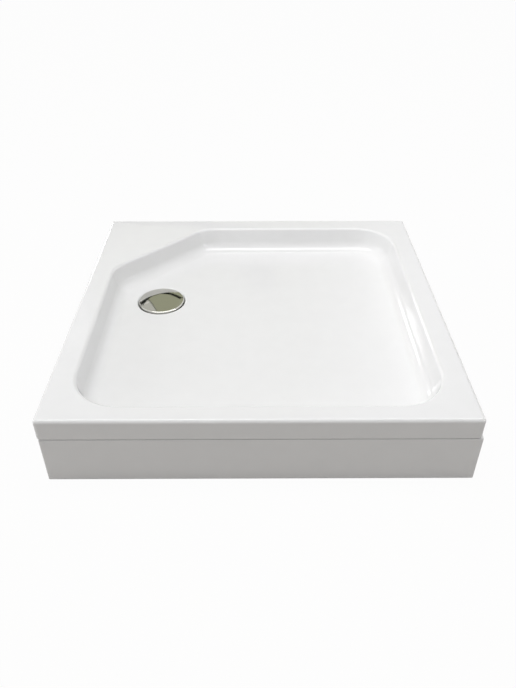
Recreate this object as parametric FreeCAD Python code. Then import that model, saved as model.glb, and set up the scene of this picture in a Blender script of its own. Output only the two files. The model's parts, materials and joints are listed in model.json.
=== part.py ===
import FreeCAD, Part
import math
import os
from FreeCAD import Vector

# Square shower tray on a steel frame, with three apron panels and a lift-out trap.
# Millimetres. The origin is on the floor under the middle of the tray,
# +X is to the right, -Y is the front and +Z is up.

# ---- driving dimensions: tray -------------------------------------------------
tray_length = 800.0
tray_depth = 800.0
tray_height = 150.0
lip_height = 45.0
sheet = 4.0
backing = 2.5
backing_edge_gap = 6.0
plan_corner_radius = 9.0
top_edge_radius = 7.0
lip_foot_radius = 1.2

# ---- driving dimensions: basin, measured where the flat rim ends ---------------
rim_side = 44.5
rim_front = 35.5
rim_rear = 45.5
corner_cut = 213.0
front_corner_radius = 100.0
rear_corner_radius = 100.0
cut_corner_radius = 60.0
rim_edge_radius = 7.5
floor_edge_radius = 30.0
wall_draft = 15.0
basin_depth = 55.5
floor_fall = 0.005

# ---- driving dimensions: waste recess in the floor -----------------------------
waste_from_left = 168.0
waste_from_rear = 319.5
recess_depth = 12.0
recess_edge_radius = 3.0

# ---- driving dimensions: board and frame ---------------------------------------
board_thickness = 12.0
board_margin = 2.0
board_hole_gap = 2.0
bar_size = 20.0
bar_wall = 1.5
bar_end_gap = 55.0
front_bar_from_front = 170.0
rear_bar_from_rear = 145.0
cross_bar_from_left = 420.0
cap_flange = 2.0
cap_plug = 10.0
cap_clearance = 0.2
screw_radius = 2.2
screw_hole_clearance = 0.3
screw_bite = 8.0
screw_head_radius = 4.5
screw_head_height = 2.4
outer_screw_from_end = 75.0
inner_screw_from_end = 225.0
cross_screw_from_bar = 60.0

# ---- driving dimensions: levelling feet ----------------------------------------
foot_from_bar_end = 20.0
bolt_radius = 5.0
bolt_running_gap = 0.05
bolt_bar_gap = 0.3
bolt_top_gap = 1.0
nut_across_flats = 17.0
weld_nut_height = 8.0
lock_nut_height = 5.0
lock_nut_gap = 0.3
key_across_flats = 13.0
key_height = 6.0
key_above_pad = 3.0
pad_radius = 22.0
pad_height = 6.0
pad_sole = 4.0
hub_radius = 10.0
hub_height = 15.0
pad_edge_radius = 1.5

# ---- driving dimensions: apron panels ------------------------------------------
panel_sheet = 3.0
panel_return = 20.0
panel_seam = 1.0
panel_floor_gap = 1.5
panel_corner_gap = 0.6
panel_corner_radius = 3.0
panel_edge_radius = 1.2
apron_shift = 3.0
plate_thickness = 1.5
plate_length = 44.0
plate_height = 16.0
magnet_thickness = 5.0
magnet_length = 24.0
magnet_height = 14.0
bracket_sheet = 2.0
bracket_width = 30.0
bracket_overlap = 18.0
side_bracket_overlap = 45.0
front_bracket_offset = 195.0
short_screw_length = 6.0
side_screw_margin = 5.0

# ---- driving dimensions: waste and trap ----------------------------------------
upper_seal_thickness = 1.5
lower_seal_thickness = 2.0
flange_overlap = 9.0
flange_edge_gap = 0.5
flange_plate = 1.5
throat_radius = 33.5
throat_wall = 2.0
throat_length = 15.0
neck_clearance = 1.5
neck_gap = 2.0
screw_in_neck = 4.0
hole_beyond_screws = 4.0
flange_screw_radius = 2.5
flange_screw_head_radius = 4.4
flange_screw_head_height = 1.8
flange_screw_length = 16.0
flange_screw_count = 3
trap_flange_overlap = 12.0
trap_flange_thickness = 3.0
trap_shoulder = 5.0
trap_wall = 3.0
trap_floor_gap = 4.0
pipe_radius = 20.0
pipe_wall = 2.4
spigot_wall = 3.5
spigot_seat = 2.5
spigot_length = 26.0
pipe_insertion = 13.0
pipe_gap = 0.05
pipe_end_gap = 8.0
pipe_end_length = 47.0
pipe_ring_width = 3.0
pipe_ring_height = 1.5
washer_thickness = 4.0
nut_wall = 2.5
nut_floor_gap = 2.0
nut_grip = 14.0
nut_face = 3.0
nut_notches = 12
nut_notch_radius = 1.4

# ---- driving dimensions: lift-out dip tube and cup ------------------------------
insert_clearance = 0.1
lip_screw_gap = 0.4
lip_thickness = 1.5
collar_height = 18.0
collar_wall = 3.4
funnel_top_drop = 12.0
funnel_bottom_drop = 24.0
tube_radius = 16.0
tube_wall = 2.0
tube_end_height = 16.0
ring_section_radius = 1.0
ring_fit = 0.05
ring_drop = 9.0
hub_bore_gap = 0.05
tube_hub_radius = 6.5
tube_hub_height = 10.0
tube_rib_thickness = 2.0
cup_lift_gap = 2.0
cup_wall = 2.0
cup_ring_height = 3.0
cup_ring_extra = 1.4
cup_floor_gap = 2.0
window_width = 24.0
window_height = 12.0
window_drop = 6.0
window_count = 4

# ---- driving dimensions: domed cover --------------------------------------------
cover_edge_gap = 4.0
cover_standoff = 8.5
cover_sheet = 1.2
cover_rim_height = 2.5
cover_rim_radius = 1.5
cover_rise = 5.6
clip_disc_radius = 8.0
clip_stem_radius = 3.0
clip_stem_length = 25.0
clip_rib_thickness = 3.0
clip_rib_gap = 0.3
clip_foot_radius = 3.0
clip_foot_from_edge = 7.0
clip_count = 3

# ---- places worked out from the dimensions ---------------------------------------
half_length = tray_length / 2
half_depth = tray_depth / 2
lip_bottom = tray_height - lip_height
draft_angle = math.radians(wall_draft)
draft_slope = math.tan(draft_angle)
edge_half_angle = (math.pi / 2 - draft_angle) / 2
rim_tangent = rim_edge_radius * math.tan(edge_half_angle)

floor_middle = tray_height - basin_depth
waste_x = waste_from_left - half_length
waste_y = half_depth - waste_from_rear
floor_at_waste = floor_middle + floor_fall * waste_x
shelf_top = floor_at_waste - recess_depth
shelf_bottom = shelf_top - sheet
backed_shelf_bottom = shelf_bottom - backing
neck_radius = throat_radius + throat_wall + neck_clearance
flange_screw_circle = neck_radius + screw_in_neck
waste_hole_radius = flange_screw_circle + hole_beyond_screws
flange_radius = waste_hole_radius + flange_overlap
recess_radius = flange_radius + flange_edge_gap + recess_edge_radius
recess_outer_radius = recess_radius + sheet
recess_backed_radius = recess_outer_radius + backing

floor_lowest = floor_middle - floor_fall * half_length
board_top = floor_lowest - sheet - backing
board_bottom = board_top - board_thickness
bar_top = board_bottom
bar_bottom = bar_top - bar_size
bar_middle = bar_bottom + bar_size / 2
front_bar_y = front_bar_from_front - half_depth
rear_bar_y = half_depth - rear_bar_from_rear
cross_bar_x = cross_bar_from_left - half_length
bar_half = half_length - bar_end_gap
half_bar = bar_size / 2

weld_nut_bottom = bar_bottom - weld_nut_height
lock_nut_top = weld_nut_bottom - lock_nut_gap
foot_x = bar_half - foot_from_bar_end
cross_bar_middle_y = (front_bar_y + rear_bar_y) / 2

panel_top = lip_bottom - panel_seam
panel_bottom = panel_floor_gap
panel_left = apron_shift - half_length
panel_right = apron_shift + half_length
panel_front = -half_depth
side_panel_front = panel_front + panel_return + panel_corner_gap

flange_bottom = shelf_top + upper_seal_thickness
flange_top = flange_bottom + flange_plate
trap_flange_radius = waste_hole_radius + trap_flange_overlap
trap_radius = waste_hole_radius + trap_shoulder
trap_top = backed_shelf_bottom - lower_seal_thickness
neck_top = flange_bottom - neck_gap
trap_roof = trap_top - trap_flange_thickness
trap_floor = trap_floor_gap + trap_wall
spigot_radius = pipe_radius + spigot_wall
outlet_bore_radius = pipe_radius - spigot_seat
outlet_height = nut_floor_gap + spigot_radius + nut_wall
spigot_end = waste_y + trap_radius + spigot_length
washer_end = spigot_end + washer_thickness
pipe_start = spigot_end - pipe_insertion
pipe_end = half_depth - pipe_end_gap

collar_radius = throat_radius - insert_clearance
collar_inner_radius = collar_radius - collar_wall
lip_radius = flange_screw_circle - flange_screw_head_radius - lip_screw_gap
collar_top = flange_top + lip_thickness
collar_bottom = flange_top - collar_height
ring_middle = flange_top - ring_drop
groove_radius = throat_radius - ring_fit - 2 * ring_section_radius
cup_radius = throat_radius - cup_lift_gap
cup_inner_radius = cup_radius - cup_wall
cup_bottom = trap_floor + cup_floor_gap

cover_radius = recess_radius - cover_edge_gap
cover_bottom = flange_top + cover_standoff
cover_shoulder = cover_bottom + cover_rim_height
cover_crown = cover_shoulder + cover_rise
clip_foot_circle = cover_radius - clip_foot_from_edge


# ---- helpers ----------------------------------------------------------------------
def box(x0, x1, y0, y1, z0, z1):
    """Upright box between two corners."""
    return Part.makeBox(x1 - x0, y1 - y0, z1 - z0, Vector(x0, y0, z0))


def disc(radius, z0, z1, x=0.0, y=0.0):
    """Upright cylinder from z0 to z1."""
    return Part.makeCylinder(radius, z1 - z0, Vector(x, y, z0))


def ring(outer, inner, z0, z1, x=0.0, y=0.0):
    """Upright tube from z0 to z1."""
    return disc(outer, z0, z1, x, y).cut(disc(inner, z0, z1, x, y))


def bar_along_y(radius, y0, y1, x, z):
    """Level cylinder from y0 to y1."""
    return Part.makeCylinder(radius, y1 - y0, Vector(x, y0, z), Vector(0, 1, 0))


def turned(edges, x=0.0, y=0.0):
    """Solid turned about the upright line through x, y from edges drawn in the XZ plane."""
    face = Part.Face(Part.Wire(edges))
    body = face.revolve(Vector(0, 0, 0), Vector(0, 0, 1), 360)
    body.translate(Vector(x, y, 0))
    return body


def section(corners):
    """Closed run of straight edges through (radius, height) corners."""
    points = [Vector(r, 0, z) for r, z in corners]
    return Part.makePolygon(points + points[:1]).Edges


def hexagon(across_flats, z0, z1, x=0.0, y=0.0):
    """Upright hexagonal prism."""
    corner = across_flats / 2 / math.cos(math.pi / 6)
    points = []
    for step in range(7):
        angle = step * math.pi / 3
        points.append(Vector(x + corner * math.cos(angle), y + corner * math.sin(angle), z0))
    return Part.Face(Part.makePolygon(points)).extrude(Vector(0, 0, z1 - z0))


def around(shape, count, x, y, first=0.0):
    """Copies of a shape spread evenly about the upright line through x, y."""
    copies = []
    for step in range(count):
        copy = shape.copy()
        copy.rotate(Vector(x, y, 0), Vector(0, 0, 1), first + step * 360.0 / count)
        copies.append(copy)
    return copies


def joined(shapes):
    """One solid from shapes that touch or overlap."""
    whole = shapes[0]
    for shape in shapes[1:]:
        whole = whole.fuse(shape)
    return whole.removeSplitter()


def edges_at(shape, height):
    """Edges that lie wholly at one height."""
    found = []
    for edge in shape.Edges:
        bounds = edge.BoundBox
        if abs(bounds.ZMin - height) < 1e-4 and abs(bounds.ZMax - height) < 1e-4:
            found.append(edge)
    return found


def rounded_slab(x0, x1, y0, y1, z0, z1, radius):
    """Box with rounded upright edges."""
    slab = box(x0, x1, y0, y1, z0, z1)
    upright = [e for e in slab.Edges if e.BoundBox.ZLength > (z1 - z0) / 2]
    return slab.makeFillet(radius, upright)


def save(shape, name):
    """Write one sub-part."""
    shape.exportStep("parts/" + name + ".step")


# ---- basin outline and block ----------------------------------------------------
def basin_outline(inset, height):
    """Five-sided outline of the basin, drawn inwards by inset from where the flat rim ends."""
    left = rim_side - half_length + inset
    right = half_length - rim_side - inset
    front = rim_front - half_depth + inset
    rear = half_depth - rim_rear - inset
    diagonal = tray_depth - rim_rear - corner_cut - rim_side
    diagonal += half_length - half_depth - inset * math.sqrt(2)
    corners = [
        Vector(left, front, height),
        Vector(right, front, height),
        Vector(right, rear, height),
        Vector(rear - diagonal, rear, height),
        Vector(left, left + diagonal, height),
    ]
    radii = [
        front_corner_radius,
        front_corner_radius,
        rear_corner_radius,
        cut_corner_radius,
        cut_corner_radius,
    ]
    arcs = []
    for index, corner in enumerate(corners):
        back = (corners[index - 1] - corner).normalize()
        onward = (corners[(index + 1) % len(corners)] - corner).normalize()
        radius = radii[index] - inset
        half_angle = back.getAngle(onward) / 2
        run = radius / math.tan(half_angle)
        inward = (back + onward).normalize()
        centre = corner + inward * (radius / math.sin(half_angle))
        arcs.append((corner + back * run, centre - inward * radius, corner + onward * run))
    edges = []
    for index, (start, middle, end) in enumerate(arcs):
        edges.append(Part.Arc(start, middle, end).toShape())
        edges.append(Part.LineSegment(end, arcs[(index + 1) % len(arcs)][0]).toShape())
    return Part.Wire(edges)


def wall_inset(height, offset):
    """How far the basin wall stands inside the end of the flat rim, at a height."""
    return rim_tangent + (tray_height - height) * draft_slope - offset / math.cos(draft_angle)


def basin_block(offset, top, bottom, fall):
    """The basin as a solid, grown outwards by offset, with its floor edge rounded."""
    below = bottom - floor_edge_radius / 2
    upper = basin_outline(wall_inset(top, offset), top)
    lower = basin_outline(wall_inset(below, offset), below)
    block = Part.makeLoft([upper, lower], True, True)
    reach = tray_length + tray_depth
    waste = box(-reach, reach, -reach, reach, -reach, 0)
    waste.rotate(Vector(0, 0, 0), Vector(0, 1, 0), -math.degrees(math.atan(fall)))
    waste.translate(Vector(0, 0, bottom))
    block = block.cut(waste)
    floor = min(block.Faces, key=lambda face: face.CenterOfMass.z)
    return block.makeFillet(floor_edge_radius + offset, floor.Edges)


# ---- tray: shell, backing and board ------------------------------------------------
def rim_and_skirt():
    """Flat rim with its hanging skirt, before the basin is let in."""
    outer = rounded_slab(-half_length, half_length, -half_depth, half_depth,
                         lip_bottom, tray_height, plan_corner_radius)
    outer = outer.makeFillet(top_edge_radius, edges_at(outer, tray_height))
    outer = outer.makeFillet(lip_foot_radius, edges_at(outer, lip_bottom))
    inner = rounded_slab(sheet - half_length, half_length - sheet,
                         sheet - half_depth, half_depth - sheet,
                         lip_bottom - sheet, tray_height - sheet,
                         plan_corner_radius - sheet)
    inner = inner.makeFillet(top_edge_radius - sheet, edges_at(inner, tray_height - sheet))
    return outer.cut(inner)


def shell_underside():
    """Everything inside the outer face of the basin and of its recess."""
    basin = basin_block(sheet, tray_height - sheet / 2, floor_middle - sheet, floor_fall)
    recess = disc(recess_outer_radius, shelf_bottom, floor_at_waste, waste_x, waste_y)
    return basin.fuse(recess)


def tray_shell():
    """One thermoformed sheet: rim, skirt, basin and waste recess."""
    shell = rim_and_skirt().fuse(shell_underside())
    basin = basin_block(0.0, tray_height + sheet, floor_middle, floor_fall)
    recess = disc(recess_radius, shelf_top, floor_at_waste + sheet / 2, waste_x, waste_y)
    recess = recess.makeFillet(recess_edge_radius, edges_at(recess, shelf_top))
    hole = disc(waste_hole_radius, shelf_bottom - sheet, shelf_top + sheet, waste_x, waste_y)
    shell = shell.cut(basin).cut(recess).cut(hole).removeSplitter()
    inside = min(rim_side, rim_front, rim_rear)
    rim_edges = []
    for edge in edges_at(shell, tray_height):
        middle = edge.valueAt((edge.FirstParameter + edge.LastParameter) / 2)
        if max(abs(middle.x) - half_length, abs(middle.y) - half_depth) < -inside:
            rim_edges.append(edge)
    shell = shell.makeFillet(rim_edge_radius, rim_edges)
    recess_edges = []
    for edge in shell.Edges:
        bounds = edge.BoundBox
        round_waste = abs(bounds.XLength - 2 * recess_radius) < 0.01
        if round_waste and bounds.ZMin > floor_at_waste - recess_edge_radius:
            recess_edges.append(edge)
    return shell.makeFillet(recess_edge_radius, recess_edges)


def reinforcement_layer():
    """Glass-fibre backing, levelled under the floor so that the board lies flat."""
    reach = sheet + backing_edge_gap
    plate = rounded_slab(reach - half_length, half_length - reach,
                         reach - half_depth, half_depth - reach,
                         tray_height - sheet - backing, tray_height - sheet,
                         plan_corner_radius)
    basin = basin_block(sheet + backing, tray_height - sheet, board_top, 0.0)
    recess = disc(recess_backed_radius, backed_shelf_bottom, floor_at_waste, waste_x, waste_y)
    whole = plate.fuse(basin).fuse(recess)
    shell_space = basin_block(sheet, tray_height + sheet, floor_middle - sheet, floor_fall)
    whole = whole.cut(shell_space)
    whole = whole.cut(disc(recess_outer_radius, shelf_bottom, tray_height, waste_x, waste_y))
    hole = disc(waste_hole_radius, backed_shelf_bottom - backing, tray_height, waste_x, waste_y)
    return whole.cut(hole).removeSplitter()


def board_inset():
    """How far the board's edge stands inside the end of the flat rim."""
    offset = sheet + backing
    flat = wall_inset(board_top, offset) + (floor_edge_radius + offset) * math.tan(edge_half_angle)
    return flat + board_margin


def screw_places():
    """Where the frame is screwed up into the board: two by each bar end, and two in the cross bar."""
    places = []
    for bar_y in (front_bar_y, rear_bar_y):
        for from_end in (outer_screw_from_end, inner_screw_from_end):
            for side in (-1, 1):
                places.append((side * (bar_half - from_end), bar_y))
    for bar_y, away in ((front_bar_y, 1), (rear_bar_y, -1)):
        places.append((cross_bar_x, bar_y + away * (half_bar + cross_screw_from_bar)))
    board = Part.Face(basin_outline(board_inset() + screw_head_radius, 0.0))
    return [(x, y) for x, y in places if board.distToShape(Part.Vertex(x, y, 0.0))[0] < 1e-6]


def base_board():
    """Chipboard under the flat part of the floor, open round the waste."""
    outline = Part.Face(basin_outline(board_inset(), board_bottom))
    board = outline.extrude(Vector(0, 0, board_thickness))
    hole = recess_backed_radius + board_hole_gap
    board = board.cut(disc(hole, board_bottom, board_top, waste_x, waste_y))
    for x, y in screw_places():
        board = board.cut(disc(screw_radius, board_bottom, board_bottom + screw_bite, x, y))
    return board


# ---- frame --------------------------------------------------------------------------
def box_section(x0, x1, y0, y1, along_x):
    """Square steel tube between two corners, open at both ends."""
    tube = box(x0, x1, y0, y1, bar_bottom, bar_top)
    if along_x:
        hollow = box(x0, x1, y0 + bar_wall, y1 - bar_wall, bar_bottom + bar_wall, bar_top - bar_wall)
    else:
        hollow = box(x0 + bar_wall, x1 - bar_wall, y0, y1, bar_bottom + bar_wall, bar_top - bar_wall)
    return tube.cut(hollow)


def drilled(tube, places, radius):
    """Tube with upright holes through both walls."""
    for x, y in places:
        tube = tube.cut(disc(radius, bar_bottom, bar_top, x, y))
    return tube


def foot_places():
    """Name and plan position of each foot."""
    return [
        ("front_left", -foot_x, front_bar_y),
        ("front_right", foot_x, front_bar_y),
        ("rear_left", -foot_x, rear_bar_y),
        ("rear_right", foot_x, rear_bar_y),
        ("middle", cross_bar_x, cross_bar_middle_y),
    ]


def frame_bars():
    """The two long bars and the bar across between them, drilled for screws and feet."""
    screw_hole = screw_radius + screw_hole_clearance
    foot_hole = bolt_radius + bolt_bar_gap
    feet = [(x, y) for name, x, y in foot_places()]
    bars = {
        "front_frame_bar": box_section(-bar_half, bar_half,
                                       front_bar_y - half_bar, front_bar_y + half_bar, True),
        "rear_frame_bar": box_section(-bar_half, bar_half,
                                      rear_bar_y - half_bar, rear_bar_y + half_bar, True),
        "cross_frame_bar": box_section(cross_bar_x - half_bar, cross_bar_x + half_bar,
                                       front_bar_y + half_bar, rear_bar_y - half_bar, False),
    }
    for name, bar in bars.items():
        bar = drilled(bar, screw_places(), screw_hole)
        bar = drilled(bar, feet, foot_hole)
        for body in bracket_screws():
            bar = bar.cut(body)
        bars[name] = bar
    return bars


def bar_end_caps():
    """Plastic plugs in the four free bar ends."""
    inner = half_bar - bar_wall - cap_clearance
    caps = []
    for bar_y in (front_bar_y, rear_bar_y):
        for side in (-1, 1):
            ends = sorted((side * bar_half, side * (bar_half + cap_flange)))
            flange = box(ends[0], ends[1], bar_y - half_bar, bar_y + half_bar, bar_bottom, bar_top)
            ends = sorted((side * bar_half, side * (bar_half - cap_plug)))
            plug = box(ends[0], ends[1], bar_y - inner, bar_y + inner,
                       bar_middle - inner, bar_middle + inner)
            caps.append(joined([flange, plug]))
    return Part.makeCompound(caps)


def frame_screws():
    """Wood screws from under the bars into the board."""
    tip = screw_bite - screw_radius
    shank = section([(0, bar_bottom), (screw_radius, bar_bottom), (screw_radius, bar_top + tip),
                     (0, bar_top + screw_bite)])
    head = section([(0, bar_bottom - screw_head_height),
                    (screw_head_radius - screw_head_height / 2, bar_bottom - screw_head_height),
                    (screw_head_radius, bar_bottom - screw_head_height / 2),
                    (screw_head_radius, bar_bottom), (0, bar_bottom)])
    screws = []
    for x, y in screw_places():
        screws.append(joined([turned(shank, x, y), turned(head, x, y)]))
    return Part.makeCompound(screws)


# ---- levelling feet -------------------------------------------------------------------
def weld_nuts():
    """Hexagon nuts welded under the bars, in which the foot bolts turn."""
    nuts = []
    for name, x, y in foot_places():
        nut = hexagon(nut_across_flats, weld_nut_bottom, bar_bottom, x, y)
        bore = disc(bolt_radius + bolt_running_gap, weld_nut_bottom, bar_bottom, x, y)
        nuts.append(nut.cut(bore))
    return Part.makeCompound(nuts)


def foot_bolt(x, y, top):
    """Threaded rod with a hexagon to turn it by, just above the pad."""
    chamfer = bolt_radius / 5
    rod = turned(section([(0, pad_sole), (bolt_radius, pad_sole), (bolt_radius, top - chamfer),
                          (bolt_radius - chamfer, top), (0, top)]), x, y)
    key_bottom = hub_height + key_above_pad
    return joined([rod, hexagon(key_across_flats, key_bottom, key_bottom + key_height, x, y)])


def lock_nut(x, y):
    """Thin nut that locks the bolt against the nut above it."""
    nut = hexagon(nut_across_flats, lock_nut_top - lock_nut_height, lock_nut_top, x, y)
    return nut.cut(disc(bolt_radius, lock_nut_top - lock_nut_height, lock_nut_top, x, y))


def foot_pad(x, y):
    """Round plastic pad with a socket for the bolt."""
    base = disc(pad_radius, 0, pad_height, x, y)
    base = base.makeFillet(pad_edge_radius, edges_at(base, pad_height))
    pad = joined([base, disc(hub_radius, 0, hub_height, x, y)])
    return pad.cut(disc(bolt_radius + bolt_running_gap, pad_sole, hub_height, x, y))


def bolt_top(name):
    """The middle bolt ends inside the bar, because the board is above it."""
    return (bar_top if name == "middle" else board_top) - bolt_top_gap


# ---- apron ------------------------------------------------------------------------------
def panel(length, corner_radius):
    """Apron panel lying along X with its face at y = 0, with returns all round its back."""
    body = box(0, length, 0, panel_return, panel_bottom, panel_top)
    on_face = [edge for edge in body.Edges if edge.BoundBox.YMax < panel_sheet]
    upright = [edge for edge in on_face if edge.BoundBox.XLength < panel_sheet]
    body = body.makeFillet(corner_radius, upright)
    on_face = [edge for edge in body.Edges if edge.BoundBox.YMax < panel_edge_radius / 2]
    level = [edge for edge in on_face if edge.BoundBox.ZLength < panel_sheet]
    body = body.makeFillet(panel_edge_radius, level)
    pocket = box(panel_sheet, length - panel_sheet, panel_sheet, panel_return,
                 panel_bottom + panel_sheet, panel_top - panel_sheet)
    return body.cut(pocket)


def apron_panels():
    """Front panel between the corners, and a side panel behind each of its ends."""
    front = panel(panel_right - panel_left, panel_corner_radius)
    front.translate(Vector(panel_left, panel_front, 0))
    left = panel(half_depth - side_panel_front, panel_edge_radius)
    right = left.copy()
    left.rotate(Vector(0, 0, 0), Vector(0, 0, 1), -90)
    left.translate(Vector(panel_left, half_depth, 0))
    right.rotate(Vector(0, 0, 0), Vector(0, 0, 1), 90)
    right.translate(Vector(panel_right, side_panel_front, 0))
    return {"front_panel": front, "left_panel": left, "right_panel": right}


def front_stack(x):
    """Strike plate, magnet and bracket behind the front panel at x, from the panel inwards."""
    face = panel_front + panel_sheet
    plate = box(x - plate_length / 2, x + plate_length / 2, face, face + plate_thickness,
                bar_middle - plate_height / 2, bar_middle + plate_height / 2)
    face += plate_thickness
    magnet = box(x - magnet_length / 2, x + magnet_length / 2, face, face + magnet_thickness,
                 bar_middle - magnet_height / 2, bar_middle + magnet_height / 2)
    face += magnet_thickness
    half = bracket_width / 2
    arm_bottom = bar_bottom - bracket_sheet
    arm_end = front_bar_y - half_bar + bracket_overlap
    arm = box(x - half, x + half, face, arm_end, arm_bottom, bar_bottom)
    upturn = box(x - half, x + half, face, face + bracket_sheet, arm_bottom, bar_top)
    return plate, magnet, joined([arm, upturn])


def side_stack(side, bar_y, outward):
    """The same behind a side panel, on the bar's face that looks outwards (+1 rear, -1 front)."""
    panel_face = panel_right if side > 0 else panel_left
    face = panel_face - side * panel_sheet
    bar_face = bar_y + outward * half_bar
    strip = sorted((bar_face, bar_face + outward * bracket_sheet))
    middle = bar_face + outward * bracket_sheet - outward * bracket_width / 2

    def slab(depth, length, height):
        ends = sorted((face, face - side * depth))
        return box(ends[0], ends[1], middle - length / 2, middle + length / 2,
                   bar_middle - height / 2, bar_middle + height / 2)

    plate = slab(plate_thickness, plate_length, plate_height)
    face -= side * plate_thickness
    magnet = slab(magnet_thickness, magnet_length, magnet_height)
    face -= side * magnet_thickness
    upturn = slab(bracket_sheet, bracket_width, bar_size)
    ends = sorted((face, side * (bar_half - side_bracket_overlap)))
    arm = box(ends[0], ends[1], strip[0], strip[1], bar_bottom, bar_top)
    return plate, magnet, joined([arm, upturn])


def apron_fixings():
    """All strike plates, magnets and brackets."""
    front = [front_stack(x) for x in (-front_bracket_offset, front_bracket_offset)]
    left = [side_stack(-1, front_bar_y, -1), side_stack(-1, rear_bar_y, 1)]
    right = [side_stack(1, front_bar_y, -1), side_stack(1, rear_bar_y, 1)]
    every = front + left + right
    return {
        "front_panel_plates": Part.makeCompound([plate for plate, magnet, bracket in front]),
        "left_panel_plates": Part.makeCompound([plate for plate, magnet, bracket in left]),
        "right_panel_plates": Part.makeCompound([plate for plate, magnet, bracket in right]),
        "panel_magnets": Part.makeCompound([magnet for plate, magnet, bracket in every]),
        "panel_brackets": [bracket for plate, magnet, bracket in every],
    }


def short_screw(place, inward):
    """Pan head screw whose head sits on a bracket at place and points inward."""
    head = Part.makeCylinder(screw_head_radius, screw_head_height,
                             place - inward * screw_head_height, inward)
    shank = Part.makeCylinder(screw_radius, short_screw_length, place, inward)
    return joined([head, shank])


def bracket_screws():
    """Screws that hold the brackets to the bars."""
    screws = []
    for x in (-front_bracket_offset, front_bracket_offset):
        screws.append(short_screw(Vector(x, front_bar_y, bar_bottom - bracket_sheet), Vector(0, 0, 1)))
    for bar_y, outward in ((front_bar_y, -1), (rear_bar_y, 1)):
        face = bar_y + outward * (half_bar + bracket_sheet)
        for side in (-1, 1):
            from_end = side_bracket_overlap - side_screw_margin
            place = Vector(side * (bar_half - from_end), face, bar_middle)
            screws.append(short_screw(place, Vector(0, -outward, 0)))
    return screws


# ---- waste ---------------------------------------------------------------------------------
def trap_body():
    """Pot under the waste hole, with its clamping flange, screw neck and outlet spigot."""
    pot = turned(section([(0, trap_floor_gap), (trap_radius, trap_floor_gap),
                          (trap_radius, trap_roof), (trap_flange_radius, trap_roof),
                          (trap_flange_radius, trap_top),
                          (waste_hole_radius - neck_gap / 4, trap_top),
                          (waste_hole_radius - neck_gap / 4, neck_top), (neck_radius, neck_top),
                          (neck_radius, trap_roof), (trap_radius - trap_wall, trap_roof),
                          (trap_radius - trap_wall, trap_floor), (0, trap_floor)]),
                 waste_x, waste_y)
    spigot = bar_along_y(spigot_radius, waste_y + trap_radius - 2 * trap_wall, spigot_end,
                         waste_x, outlet_height)
    inside = disc(trap_radius - trap_wall, trap_floor, trap_roof, waste_x, waste_y)
    pot = joined([pot, spigot.cut(inside)])
    pot = pot.cut(bar_along_y(outlet_bore_radius, waste_y, spigot_end, waste_x, outlet_height))
    pot = pot.cut(bar_along_y(pipe_radius + pipe_gap, pipe_start, spigot_end, waste_x, outlet_height))
    for screw in flange_screw_list():
        pot = pot.cut(screw)
    return pot


def flange_screw_list():
    """Screws through the waste flange into the neck of the trap."""
    tip = flange_top - flange_screw_length
    head_top = flange_top + flange_screw_head_height
    shape = turned(section([(0, tip), (flange_screw_radius, tip + flange_screw_radius),
                            (flange_screw_radius, flange_top),
                            (flange_screw_head_radius, flange_top),
                            (flange_screw_head_radius, flange_top + flange_screw_head_height / 2),
                            (flange_screw_head_radius - flange_screw_head_height / 2, head_top),
                            (0, head_top)]),
                   waste_x + flange_screw_circle, waste_y)
    return around(shape, flange_screw_count, waste_x, waste_y, 180.0 / flange_screw_count)


def waste_flange():
    """Plate in the recess with the throat that holds the lift-out insert."""
    flange = turned(section([(throat_radius, flange_top - throat_length), (throat_radius, flange_top),
                             (flange_radius, flange_top), (flange_radius, flange_bottom),
                             (throat_radius + throat_wall, flange_bottom),
                             (throat_radius + throat_wall, flange_top - throat_length)]),
                    waste_x, waste_y)
    for screw in flange_screw_list():
        flange = flange.cut(screw)
    return flange


def outlet_pipe():
    """Plastic pipe from the trap to the wall side, with a stop ring before its plain end."""
    ring_end = pipe_end - pipe_end_length
    pipe = bar_along_y(pipe_radius, pipe_start, pipe_end, waste_x, outlet_height)
    stop = bar_along_y(pipe_radius + pipe_ring_height, ring_end - pipe_ring_width, ring_end,
                       waste_x, outlet_height)
    bore = bar_along_y(pipe_radius - pipe_wall, pipe_start, pipe_end, waste_x, outlet_height)
    return joined([pipe, stop]).cut(bore)


def outlet_washer():
    """Rubber washer between the spigot and the nut."""
    washer = bar_along_y(spigot_radius, spigot_end, washer_end, waste_x, outlet_height)
    return washer.cut(bar_along_y(pipe_radius, spigot_end, washer_end, waste_x, outlet_height))


def trap_outlet_nut():
    """Notched plastic nut that presses the washer on the pipe."""
    outer = spigot_radius + nut_wall
    start = spigot_end - nut_grip
    end = washer_end + nut_face
    nut = bar_along_y(outer, start, end, waste_x, outlet_height)
    nut = nut.cut(bar_along_y(spigot_radius, start, washer_end, waste_x, outlet_height))
    nut = nut.cut(bar_along_y(pipe_radius, washer_end, end, waste_x, outlet_height))
    for step in range(nut_notches):
        angle = (step + 0.5) * 2 * math.pi / nut_notches
        notch_x = waste_x + outer * math.cos(angle)
        notch_z = outlet_height + outer * math.sin(angle)
        nut = nut.cut(bar_along_y(nut_notch_radius, start, end, notch_x, notch_z))
    return nut


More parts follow.
